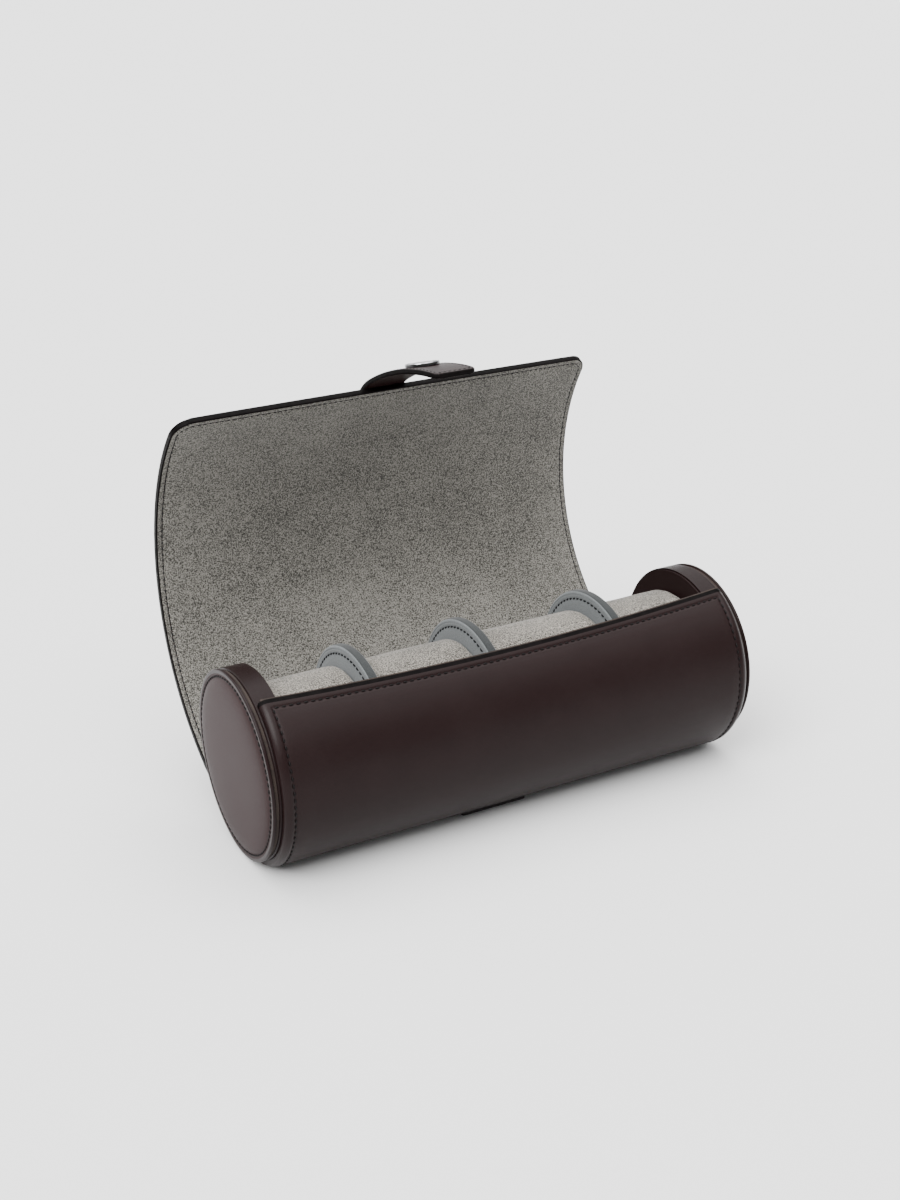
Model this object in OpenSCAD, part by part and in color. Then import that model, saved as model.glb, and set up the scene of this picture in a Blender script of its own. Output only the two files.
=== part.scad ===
// Travel roll for watches: a round leather case that stands on its flattened belly.
// Four round cushions lie between leather dividers, a padded flap springs back from
// the rear of the roll, and a snap tab on the flap reaches under the roll when closed.
// X runs along the roll, Y points to the back, Z up; the origin lies on the resting
// plane, under the middle of the roll's axis. Millimetres.

/* [Roll] */
// Overall length of the roll over both end covers
case_l = 272; // [230:1:340]
// Outer radius of the leather wrap
wrap_r = 51.7; // [50:0.1:58]
// Half width of the flat belly that the roll stands on
foot_half = 15.5; // [10:0.5:16]
// Thickness of the outer leather
leather_t = 1; // [0.8:0.1:1.2]
// Thickness of the stiffening board
board_t = 1.9; // [1.6:0.1:2.6]
// Thickness of the suede lining
lining_t = 1.2; // [0.9:0.1:1.8]
// Distance from each end of the roll to the edge of the wrap
wrap_inset = 4.55; // [4:0.05:8]
// Width of the leather lip that closes the wrap's edges
lip_w = 1.1; // [0.8:0.1:2]
// Angle of the front edge above the front horizontal, at the ends
front_rise = 60.5; // [50:0.5:66]
// How far the front edge dips in the middle
front_dip = 5; // [2:0.5:8]
// Skew of the front edge, higher on the right
front_skew = 0.44; // [0:0.02:0.8]

/* [Ends] */
// Thickness of the leather end cover
cover_t = 1.6; // [1.2:0.1:2.4]
// Rounding of the end cover's rim
cover_round = 0.7; // [0.3:0.1:1]
// Distance of the stitch channel from the rim
channel_in = 2.8; // [2:0.1:5]
// Width of the stitch channel
channel_w = 1; // [0.6:0.1:1.6]
// Depth of the stitch channel
channel_d = 0.3; // [0.2:0.05:0.5]
// Thickness of the backing board behind the cover
backing_t = 1.5; // [1:0.1:2.5]
// How far the backing board is set in from the rim
backing_in = 0.9; // [0.5:0.1:2]
// Thickness of the wooden end drum
drum_t = 10.6; // [8:0.1:16]
// Rounding of the drum's outer corner
drum_round = 0.8; // [0.4:0.1:2]
// Thickness of the suede facing on the drum's inner face
facing_t = 0.9; // [0.6:0.1:1.5]

/* [Dividers and cushions] */
// Radius of the dividers
divider_r = 46.7; // [44:0.1:46.9]
// Thickness of the dividers
divider_t = 5.5; // [4:0.1:8]
// Rounding of the divider's rim
divider_round = 1.8; // [1:0.1:1.9]
// Clear width of the first bay, from the left
bay_1 = 46.9; // [40:0.1:56]
// Clear width of the second bay
bay_2 = 59.3; // [46:0.1:60]
// Clear width of the third bay
bay_3 = 68.3; // [50:0.1:69]
// Radius of the watch cushions
cushion_r = 41.8; // [36:0.1:42.5]
// Rounding of the cushion's rim
cushion_round = 3; // [1.5:0.5:6]
// Thickness of the cushion's suede cover
cover_skin = 1.2; // [0.8:0.1:2]
// Free space at each end of a cushion
cushion_play = 0.4; // [0.3:0.1:1]

/* [Flap] */
// Angle where the flap leaves the roll, below the rear horizontal
root_polar = -65; // [-70:0.5:-60]
// Radius of the flap's lining at its root, about the roll's axis
root_r = 49.1; // [48.6:0.1:50.5]
// Flat length of the belly behind the axis, up to the flap's root
belly_back = 19.4; // [17:0.2:19.6]
// Length of each of the two flat panels at the flap's root
flat_w = 22; // [18:0.5:26]
// Length of each of the curled panels
curl_w = 25; // [20:0.5:26]
// Radius of the flap's curl, at the lining
curl_r = 109; // [100:1:130]
// Tilt of the curl's axis, which carries the free edge to the right
curl_tilt = 4.3; // [2:0.1:6]
// How far each side of the flap lies inside the end of the wrap
flap_in = 0.45; // [0.2:0.05:2]
// Thickness of the flap
flap_t = 3.8; // [3:0.1:4]
// Width of the leather hem round the flap's lining
hem_w = 3.7; // [2.5:0.1:6]
// How far the hem lies below the face of the lining
hem_drop = 0.5; // [0.2:0.1:1]
// Radius of the flap's free corners
corner_r = 11; // [6:0.5:20]
// Width of the crease between two panels
crease = 0.7; // [0.5:0.05:1]

/* [Tab and snap] */
// Width of the tab
tab_w = 26; // [22:0.5:34]
// Thickness of the tab
tab_t = 3; // [2:0.1:4]
// Sideways place of the tab on the flap
tab_shift = -7; // [-15:0.5:15]
// Length of the tab's end that is sewn to the flap
tab_sewn = 22; // [14:0.5:23]
// Length of the tab's soft middle
tab_soft = 27.5; // [24:0.5:32]
// Length of the tab's stiff end
tab_stiff = 42.5; // [36:0.5:50]
// Angle at which the tab leaves the flap's edge
tab_bend = 20; // [10:1:30]
// Radius of the tab's own curve
tab_r = 130; // [100:5:200]
// Radius of the tab's tip corners
tip_r = 5; // [2:0.5:9]
// Distance of the snap from the start of the stiff end
snap_at = 12; // [11:0.5:16]
// Diameter of the snap's cap
cap_d = 18; // [14:0.5:19]
// Height of the snap's cap
cap_h = 2.6; // [1.6:0.1:3]
// Diameter of the rivet through the tab
rivet_d = 4; // [3:0.1:5]
// Diameter of the snap's post plate
post_d = 11; // [9:0.5:14]
// Diameter of the post's nose
nose_d = 5.6; // [4:0.1:6]
// Diameter of the socket under the roll
socket_d = 11; // [9:0.5:11.5]
// Thickness of the socket
socket_t = 1; // [0.8:0.1:1.2]
// Distance of the socket in front of the axis
socket_y = 18; // [17:0.5:19]
// Lean of the socket's face
socket_lean = 8.5; // [7:0.5:9]
// Width of the leather patch round the socket
patch_w = 36; // [24:1:50]
// Length of the patch in front of the socket's middle
patch_front = 6.2; // [5.8:0.2:8]
// Length of the patch behind the socket's middle
patch_back = 20; // [10:1:24]

/* [Fits] */
// Gap between layers that lie against each other
lay = 0.1; // [0.05:0.01:0.15]
// Gap under a piece that rests loose in the roll
rest = 0.3; // [0.25:0.05:0.4]

/* [Hidden] */
$fn = 120;
PANELS = 10;
FLATS = 2;

brown = "#3f3230";
dark = "#2c2322";
suede = "#8b857e";
pale_suede = "#aaa8a2";
blue_grey = "#868d90";
card = "#a58f6d";
pine = "#b89b6c";
steel = "#c9cbce";

// height of the axis over the resting plane
axis_z = sqrt(pow(wrap_r, 2) - pow(foot_half, 2));
// radii of the layers, from the inside
lining_in = wrap_r - leather_t - board_t - lining_t;
board_in = lining_in + lining_t;
board_out = wrap_r - leather_t;
drum_r = lining_in - lay;
// heights where the flat belly presses the layers together
seat_z = axis_z - drum_r - lay / 5;
pressed_t = (seat_z - leather_t) / 2;
wrap_w = case_l - 2 * wrap_inset;
// heights of the loose pieces' middles
divider_z = seat_z + rest + divider_r;
cushion_z = seat_z + rest + cushion_r;
// x of the inner end faces, then of the dividers' left faces
bay_from = case_l / 2 - cover_t - backing_t - 2 * lay - drum_t - lay - facing_t;
bay_4 = 2 * bay_from - bay_1 - bay_2 - bay_3 - 3 * divider_t;
bays = [bay_1, bay_2, bay_3, bay_4];
function bay_x(i) = -bay_from + (i > 0 ? bay_x_step(i - 1) : 0);
function bay_x_step(i) = bays[i] + divider_t + (i > 0 ? bay_x_step(i - 1) : 0);
// front edge
front_polar = 180 - front_rise;
bow_r = (pow(wrap_w / 2, 2) + pow(front_dip, 2)) / (2 * front_dip);
edge_polar = front_polar + asin(front_dip / wrap_r);
// flap
flap_leather_t = leather_t;
flap_w = wrap_w - 2 * flap_in;
flap_half = flap_w / 2;
straight_l = FLATS * flat_w;
curl_n = PANELS - FLATS;
// tab
tab_off = flap_t + lay;
socket_z = socket_d / 2 * sin(socket_lean) + 2 * lay;

// ---------- frames ----------
module at_axis() translate([0, 0, axis_z]) children();
// a profile in the YZ plane, drawn from x0 to x1
module across(x0, x1) translate([x0, 0, 0]) rotate([90, 0, 90]) linear_extrude(x1 - x0) children();
// the flap's root: Y along the flap, Z out of its lining
module at_root() translate([0, root_r * cos(root_polar), axis_z + root_r * sin(root_polar)])
    rotate([root_polar + 90, 0, 0]) children();
// s millimetres along the tilted curl
module curled(s) rotate([0, 0, curl_tilt]) translate([s * sin(curl_tilt), 0, curl_r])
    rotate([s * cos(curl_tilt) / curl_r * 180 / PI, 0, 0]) translate([0, 0, -curl_r])
    rotate([0, 0, -curl_tilt]) children();
// the near edge of panel i, counted from 1
module at_panel(i) at_root() {
    if (i <= FLATS) translate([0, (i - 1) * flat_w, 0]) children();
    else translate([0, straight_l, 0]) curled((i - 1 - FLATS) * curl_w) children();
}
// the flap's free edge, then the tab's underside where it leaves that edge
module at_edge() at_panel(PANELS + 1) children();
module at_tab(s) at_edge() translate([tab_shift, 0, -tab_off]) rotate([tab_bend, 0, 0])
    translate([0, 0, tab_r]) rotate([s / tab_r * 180 / PI, 0, 0]) translate([0, 0, -tab_r]) children();
module at_socket() translate([tab_shift, -socket_y, socket_z]) rotate([-socket_lean, 0, 0]) children();

// ---------- ends ----------
// side is -1 on the left and 1 on the right; from is the depth below the end face
module end_disc(side, from, thick, r, round_out, round_in, channel) {
    at_axis() rotate([0, side * 90, 0]) translate([0, 0, case_l / 2 - from - thick])
        rotate_extrude() difference() {
            union() {
                translate([0, round_in]) square([r, thick - round_in - round_out]);
                square([r - max(round_in, round_out), thick]);
                for (e = [[round_out, thick - round_out], [round_in, round_in]]) if (e[0] > 0)
                    intersection() {
                        translate([r - e[0], e[1]]) circle(e[0], $fn = 48);
                        square([r, thick]);
                    }
                if (round_in > 0) square([r - round_in, thick / 2]);
                if (round_out > 0) translate([0, thick / 2]) square([r - round_out, thick / 2]);
            }
            if (channel > 0) translate([r - channel_in, thick - channel_d]) square([channel_w, thick]);
        }
}
module end_cover(side) color(brown) end_disc(side, 0, cover_t, drum_r, cover_round, 0, 1);
module end_backing(side) color(dark) end_disc(side, cover_t + lay, backing_t, drum_r - backing_in, 0, 0, 0);
module drum(side) color(brown) end_disc(side, cover_t + backing_t + 2 * lay, drum_t, drum_r, drum_round, 0, 0);
module drum_facing(side) color(blue_grey)
    end_disc(side, cover_t + backing_t + drum_t + 3 * lay, facing_t, drum_r - backing_in, 0, 0, 0);

// ---------- wrap ----------
// everything inside radius r that lies above the plane z
module belly(r, z) intersection() {
    translate([0, axis_z]) circle(r, $fn = 240);
    translate([-2 * r, z]) square([4 * r, 4 * r]);
}
// the open sector above the cushions, from the flap's root to the front edge
module open_sector() translate([0, axis_z]) polygon([for (a = [0, root_polar, root_polar / 2, 20, 60, front_polar - 10])
    a == 0 ? [0, 0] : 3 * wrap_r * [cos(a), sin(a)]]);
// takes away all above the bowed front edge, shifted down by back
module front_cut(back) at_axis() rotate([edge_polar - 90, 0, 0]) rotate([0, 0, front_skew])
    translate([0, bow_r - back, 2 * lining_in - wrap_r]) cylinder(r = bow_r, h = 3 * (wrap_r - lining_in), $fn = 720);
// the leather gathers into a wedge where the belly turns into the flap
module root_wedge() polygon([[0, 0], [belly_back, 0],
    [(root_r + flap_t) * cos(root_polar), axis_z + (root_r + flap_t) * sin(root_polar)],
    [lining_in * cos(root_polar), axis_z + lining_in * sin(root_polar)], [0, seat_z]]);
module socket_hole(extra) at_socket() translate([0, 0, -socket_t]) cylinder(d = socket_d + 2 * extra, h = 2 * socket_t + lay);

module wrap_leather() color(brown) difference() {
    across(-wrap_w / 2, wrap_w / 2) difference() {
        union() {
            difference() {
                belly(wrap_r, 0);
                open_sector();
            }
            root_wedge();
        }
        belly(lining_in, seat_z);
    }
    front_cut(0);
    // room for the board and the lining, behind the lips
    difference() {
        across(-wrap_w / 2 + lip_w, wrap_w / 2 - lip_w) difference() {
            belly(board_out, leather_t);
            translate([0, axis_z]) circle(lining_in / 2);
        }
        front_cut(-lip_w);
    }
    patch_body(lay);
}
// one inner layer of the wrap
module wrap_layer(r_out, z_out, r_in, z_in) difference() {
    across(-wrap_w / 2 + lip_w + lay, wrap_w / 2 - lip_w - lay) difference() {
        belly(r_out, z_out);
        belly(r_in, z_in);
        open_sector();
    }
    front_cut(-lip_w - lay);
}
module wrap_board() color(card) difference() {
    wrap_layer(board_out - lay, leather_t + lay, board_in, leather_t + pressed_t);
    socket_hole(2 * lay);
}
module wrap_lining() color(suede) wrap_layer(board_in - lay, leather_t + pressed_t + lay, lining_in, seat_z);

// ---------- dividers and cushions ----------
module divider(i) color(blue_grey) translate([bay_x(i) - divider_t, 0, divider_z]) rotate([0, 90, 0])
    rotate_extrude() union() {
        translate([0, divider_round]) square([divider_r, divider_t - 2 * divider_round]);
        square([divider_r - divider_round, divider_t]);
        for (z = [divider_round, divider_t - divider_round])
            translate([divider_r - divider_round, z]) circle(divider_round, $fn = 48);
    }
// a round-rimmed roll from x0, of length l
module round_roll(x0, l, r, e) translate([x0, 0, cushion_z]) rotate([0, 90, 0]) rotate_extrude() union() {
    translate([0, e]) square([r, l - 2 * e]);
    square([r - e, l]);
    for (z = [e, l - e]) translate([r - e, z]) circle(e, $fn = 48);
}
module cushion_cover(i) color(pale_suede) difference() {
    round_roll(bay_x(i - 1) + cushion_play, bays[i - 1] - 2 * cushion_play, cushion_r, cushion_round);
    round_roll(bay_x(i - 1) + cushion_play + cover_skin, bays[i - 1] - 2 * (cushion_play + cover_skin),
        cushion_r - cover_skin, cushion_round - cover_skin);
}
module cushion_foam(i) color("#d8d2c0")
    round_roll(bay_x(i - 1) + cushion_play + cover_skin + lay, bays[i - 1] - 2 * (cushion_play + cover_skin + lay),
        cushion_r - cover_skin - lay, cushion_round - cover_skin - lay / 2);

// ---------- flap ----------
// the sheet between depths below and above of the lining's face, all round the curl
module curl_sheet(below, above) translate([0, 0, curl_r]) rotate([0, 0, curl_tilt]) rotate([0, 90, 0])
    difference() {
        cylinder(r = curl_r + below, h = 2 * flap_w, center = true, $fn = 360);
        cylinder(r = curl_r + above, h = 3 * flap_w, center = true, $fn = 360);
    }
// outline of the last panel, seen from the free edge, set in by inset
module free_outline(inset) translate([0, -inset]) intersection() {
    translate([-flap_half + inset, -2 * curl_w]) square([flap_w - 2 * inset, 2 * curl_w]);
    union() {
        for (s = [-1, 1]) translate([s * (flap_half - corner_r), -corner_r]) circle(corner_r - inset / 2, $fn = 90);
        translate([-flap_half + corner_r, -2 * curl_w]) square([flap_w - 2 * corner_r, 2 * curl_w]);
        translate([-flap_half, -2 * curl_w]) square([flap_w, 2 * curl_w - corner_r]);
    }
}
// panel i between two depths, set in by inset from the flap's edges and cut near by far
module panel(i, below, above, inset, gap) at_panel(i) {
    if (i <= FLATS)
        translate([-flap_half + inset, gap, -below]) cube([flap_w - 2 * inset, flat_w - 2 * gap, below - above]);
    else intersection() {
        curl_sheet(below, above);
        translate([-flap_half + inset, gap, -3 * flap_t]) cube([flap_w - 2 * inset, 2 * curl_w, 8 * flap_t]);
        curled(curl_w) {
            if (i < PANELS) translate([-flap_w, -2 * curl_w, -6 * flap_t]) cube([2 * flap_w, 2 * curl_w - gap, 9 * flap_t]);
            else translate([0, 0, -6 * flap_t]) linear_extrude(9 * flap_t) free_outline(inset);
        }
    }
}
// leather tray with its turned hem; the lining lies in it
module flap_leather(i) color(brown) difference() {
    panel(i, flap_t, hem_drop, 0, crease / 2);
    panel(i, flap_t - flap_leather_t, -flap_t, hem_w, -2 * crease);
}
module flap_lining(i) color(suede) panel(i, flap_t - flap_leather_t - lay, 0, hem_w + lay, crease / 2);

// ---------- tab and snap ----------
// an arc of the tab from a to b millimetres past the flap's edge
module tab_arc(a, b) at_tab(a) translate([0, 0, tab_r]) rotate([0, 90, 0])
    rotate_extrude(angle = (b - a) / tab_r * 180 / PI, $fn = 720)
        translate([tab_r, -tab_w / 2]) square([tab_t, tab_w]);
module tab_sewn_end() color(brown) intersection() {
    at_panel(PANELS) curl_sheet(tab_off + tab_t, tab_off);
    at_edge() translate([tab_shift - tab_w / 2, -tab_sewn, -tab_off - 2 * tab_t])
        cube([tab_w, tab_sewn - crease / 2, 3 * tab_t + tab_off]);
}
module tab_soft_middle() color(brown) tab_arc(crease / 2, tab_soft - crease / 2);
module tab_stiff_end() color(brown) difference() {
    tab_arc(tab_soft + crease / 2, tab_soft + tab_stiff);
    // rounded tip
    for (s = [-1, 1]) at_tab(tab_soft + tab_stiff) translate([s * (tab_w / 2 - tip_r), -tip_r, -4 * tab_t]) difference() {
        translate([s > 0 ? 0 : -2 * tip_r, 0, 0]) cube([2 * tip_r, 2 * tip_r, 9 * tab_t]);
        translate([0, 0, -1]) cylinder(r = tip_r + lay / 2, h = 9 * tab_t + 2, $fn = 60);
    }
    at_tab(tab_soft + snap_at) translate([0, 0, -2 * tab_t]) cylinder(d = rivet_d + 2 * lay, h = 4 * tab_t);
}
// domed cap on the tab's outer face, with the rivet that holds the post
module snap_cap() color(steel) at_tab(tab_soft + snap_at) rotate([180, 0, 0]) translate([0, 0, tab_t + lay])
    rotate_extrude() union() {
        square([cap_d / 2, cap_h / 3]);
        intersection() {
            square([cap_d / 2 - 0.6, cap_h]);
            translate([0, cap_h - pow(cap_d / 2, 2) / cap_h]) circle(pow(cap_d / 2, 2) / cap_h, $fn = 180);
        }
        translate([0, -tab_t - 2 * lay]) square([rivet_d / 2, tab_t + 3 * lay]);
    }
module snap_post() color(steel) at_tab(tab_soft + snap_at) translate([0, 0, 2 * lay]) rotate_extrude() union() {
    square([post_d / 2, 0.6]);
    square([nose_d / 2, 1.3]);
}
module snap_socket() color(steel) at_socket() difference() {
    cylinder(d = socket_d, h = socket_t);
    translate([0, 0, -1]) cylinder(d = nose_d + 1.4, h = socket_t + 2);
}
// the patch's block under the board, grown by grow on its sides
module patch_body(grow) difference() {
    translate([tab_shift, 0, 0]) across(-patch_w / 2 - grow, patch_w / 2 + grow) difference() {
        translate([-socket_y - patch_front - grow, -grow]) square([patch_front + patch_back + 2 * grow, axis_z / 4]);
        belly(board_out + (grow > 0 ? -grow : lay), leather_t - (grow > 0 ? -grow : lay));
    }
    // the face leans with the socket
    if (grow == 0) at_socket() translate([-case_l, -2 * patch_front - socket_y, -wrap_r / 2])
        cube([2 * case_l, 2 * patch_front + socket_y + socket_d, wrap_r / 2]);
}
module snap_patch() color(dark) difference() {
    patch_body(0);
    socket_hole(lay);
}

end_cover(-1);  // left_end_cover
end_cover(1);  // right_end_cover
end_backing(-1);  // left_end_backing
end_backing(1);  // right_end_backing
drum(-1);  // left_drum
drum(1);  // right_drum
drum_facing(-1);  // left_drum_facing
drum_facing(1);  // right_drum_facing
wrap_leather();
wrap_board();
wrap_lining();
divider(1);  // divider_1
divider(2);  // divider_2
divider(3);  // divider_3
cushion_cover(1);  // cushion_cover_1
cushion_cover(2);  // cushion_cover_2
cushion_cover(3);  // cushion_cover_3
cushion_cover(4);  // cushion_cover_4
cushion_foam(1);  // cushion_foam_1
cushion_foam(2);  // cushion_foam_2
cushion_foam(3);  // cushion_foam_3
cushion_foam(4);  // cushion_foam_4
flap_leather(1);  // flap_leather_1
flap_leather(2);  // flap_leather_2
flap_leather(3);  // flap_leather_3
flap_leather(4);  // flap_leather_4
flap_leather(5);  // flap_leather_5
flap_leather(6);  // flap_leather_6
flap_leather(7);  // flap_leather_7
flap_leather(8);  // flap_leather_8
flap_leather(9);  // flap_leather_9
flap_leather(10);  // flap_leather_10
flap_lining(1);  // flap_lining_1
flap_lining(2);  // flap_lining_2
flap_lining(3);  // flap_lining_3
flap_lining(4);  // flap_lining_4
flap_lining(5);  // flap_lining_5
flap_lining(6);  // flap_lining_6
flap_lining(7);  // flap_lining_7
flap_lining(8);  // flap_lining_8
flap_lining(9);  // flap_lining_9
flap_lining(10);  // flap_lining_10
tab_sewn_end();
tab_soft_middle();
tab_stiff_end();
snap_cap();
snap_post();
snap_socket();
snap_patch();
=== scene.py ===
from math import acos, asin, atan2, ceil, cos, degrees, exp, hypot, pi, radians, sin, sqrt, tan

import bpy
from mathutils import Matrix, Vector, noise


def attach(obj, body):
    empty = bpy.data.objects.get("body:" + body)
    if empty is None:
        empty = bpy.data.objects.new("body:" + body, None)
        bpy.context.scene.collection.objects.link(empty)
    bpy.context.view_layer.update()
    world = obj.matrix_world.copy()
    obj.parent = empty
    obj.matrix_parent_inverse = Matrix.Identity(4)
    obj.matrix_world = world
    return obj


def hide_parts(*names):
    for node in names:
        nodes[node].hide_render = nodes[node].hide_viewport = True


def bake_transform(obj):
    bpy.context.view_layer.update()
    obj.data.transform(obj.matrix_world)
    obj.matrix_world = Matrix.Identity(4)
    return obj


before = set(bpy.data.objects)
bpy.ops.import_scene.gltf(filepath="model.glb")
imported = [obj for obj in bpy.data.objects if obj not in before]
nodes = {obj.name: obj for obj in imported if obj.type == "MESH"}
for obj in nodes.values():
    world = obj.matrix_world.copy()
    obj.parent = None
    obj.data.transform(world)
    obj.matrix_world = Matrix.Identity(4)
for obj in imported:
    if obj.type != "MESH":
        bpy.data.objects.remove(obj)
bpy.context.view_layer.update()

MM = 0.001

# ---------- sizes of the case, in millimetres ----------
CASE_L = 272
WRAP_R = 51.7
FOOT_HALF = 15.5
AXIS_Z = sqrt(WRAP_R**2 - FOOT_HALF**2)
LINING_IN = 47.6
WRAP_HALF = 131.45
WALL = WRAP_R - LINING_IN
LAY = 0.1
END_R = 47.5
EDGE_POLAR = 119.5 + degrees(asin(5 / WRAP_R))
FOOT_POLAR = 180 + degrees(asin(AXIS_Z / WRAP_R))
FRONT_S = 118
BELLY_BACK = 19.4
BACK_S = BELLY_BACK + FOOT_HALF
ROOT_S = hypot(2.96, 1.38)
ROOT = Vector((0, 20.75, 4.822))
ROOT_TILT = 25
FLAP_HALF = 131
FLAP_T = 3.8
STRAIGHT = 44
FLAP_L = 244
FLAP_CORNER = 11
FLAP_SEAM = 3.3
CURL_R = 109
CURL_TILT = radians(4.3)
TAB_SHIFT = -7
TAB_HALF = 13
TAB_L = 70
TAB_SEWN = 22
TAB_CORNER = 5
TAB_T = 3
TAB_R = 130
TAB_BEND = radians(20)
DIVIDERS = (-74.2, -9.4, 64.4)
DIVIDER_T = 5.5
DIVIDER_R = 46.7
DIVIDER_Z = 48.8
BAYS = ((-121.1, 46.9), (-68.7, 59.3), (-3.9, 68.3), (69.9, 51.2))
CUSHION_R = 41.8
CUSHION_Z = 43.9
CLOTH_STEPS = 20
PATCH_HALF = 18.1
PATCH_Y = (-24.3, 2.1)


# ---------- the bench: picking, cutting and shaping ----------
def put_down():
    """leaves edit mode with nothing picked"""
    if bpy.context.object and bpy.context.object.mode != "OBJECT":
        bpy.ops.object.mode_set(mode="OBJECT")
    bpy.ops.object.select_all(action="DESELECT")


def take(piece, *others):
    """picks up a piece, and others along with it"""
    put_down()
    for each in (*others, piece):
        each.select_set(True)
    bpy.context.view_layer.objects.active = piece


def begin(name, primitive, **settings):
    """a primitive, at its size and place, that the piece is shaped from"""
    put_down()
    primitive(**settings)
    piece = bpy.context.object
    bpy.ops.object.transform_apply(location=True, rotation=True, scale=True)
    piece.name = piece.data.name = name
    return piece


def pick(piece, kind, wanted):
    """goes to edit mode with what wanted() says picked, by its place and normal in millimetres"""
    take(piece)
    mesh = piece.data
    bpy.ops.object.mode_set(mode="EDIT")
    bpy.ops.mesh.select_mode(type=kind)
    bpy.ops.mesh.select_all(action="DESELECT")
    bpy.ops.object.mode_set(mode="OBJECT")
    if kind == "EDGE":
        for edge in mesh.edges:
            a, b = (mesh.vertices[i].co / MM for i in edge.vertices)
            edge.select = wanted(a, b)
    else:
        for face in mesh.polygons:
            face.select = wanted(face.center / MM, face.normal)
    bpy.ops.object.mode_set(mode="EDIT")


def done():
    bpy.ops.object.mode_set(mode="OBJECT")


def all_of(*_):
    return True


def inset(across, up=0):
    """sets the picked faces in by across and lifts them by up"""
    bpy.ops.mesh.inset(thickness=across * MM, depth=up * MM, use_boundary=True)


def round_edges(size, steps=3):
    bpy.ops.mesh.bevel(offset=size * MM, offset_type="OFFSET", segments=steps, profile=0.5, affect="EDGES")


def finish_with(piece, kind, **settings):
    """adds a modifier and makes it part of the mesh"""
    take(piece)
    modifier = piece.modifiers.new(kind.lower(), kind)
    for key, value in settings.items():
        setattr(modifier, key, value)
    bpy.ops.object.modifier_apply(modifier=modifier.name)


def faces_outwards(piece):
    pick(piece, "FACE", all_of)
    bpy.ops.mesh.normals_make_consistent(inside=False)
    done()


def smooth(piece, angle=40):
    take(piece)
    bpy.ops.object.shade_smooth_by_angle(angle=radians(angle))


def move_points(piece, where):
    """moves each point of the mesh to where() says, in millimetres"""
    for point in piece.data.vertices:
        point.co = Vector(where(*(point.co / MM))) * MM
    piece.data.update()


def copy_of(piece, name):
    other = piece.copy()
    other.data = piece.data.copy()
    other.name = other.data.name = name
    bpy.context.scene.collection.objects.link(other)
    return other


def join(piece, *others):
    if others:
        take(piece, *others)
        bpy.ops.object.join()
    return piece


def cut_between(piece, low, high):
    """keeps what lies between two lines across a flat sheet and closes the cuts

    A fine row is added beside each cut, so that the next part meets it smoothly.
    """
    for at, side in ((low, "clear_inner"), (high, "clear_outer")):
        if at is None:
            continue
        pick(piece, "FACE", all_of)
        bpy.ops.mesh.bisect(plane_co=(0, at * MM, 0), plane_no=(0, 1, 0), use_fill=True, **{side: True})
        bpy.ops.mesh.select_all(action="SELECT")
        inside = at + (0.25 if side == "clear_inner" else -0.25)
        bpy.ops.mesh.bisect(plane_co=(0, inside * MM, 0), plane_no=(0, 1, 0))
        done()


# ---------- finishes ----------
class Value:
    """a number that changes over a surface; sums on it add Math nodes"""

    def __init__(self, finish, socket):
        self.finish, self.socket = finish, socket

    def sum(self, operation, a, b=0.0):
        return self.finish.value("ShaderNodeMath", {"operation": operation}, {0: a, 1: b})

    def __add__(self, other): return self.sum("ADD", self, other)
    def __radd__(self, other): return self.sum("ADD", other, self)
    def __sub__(self, other): return self.sum("SUBTRACT", self, other)
    def __rsub__(self, other): return self.sum("SUBTRACT", other, self)
    def __mul__(self, other): return self.sum("MULTIPLY", self, other)
    def __rmul__(self, other): return self.sum("MULTIPLY", other, self)


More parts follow.
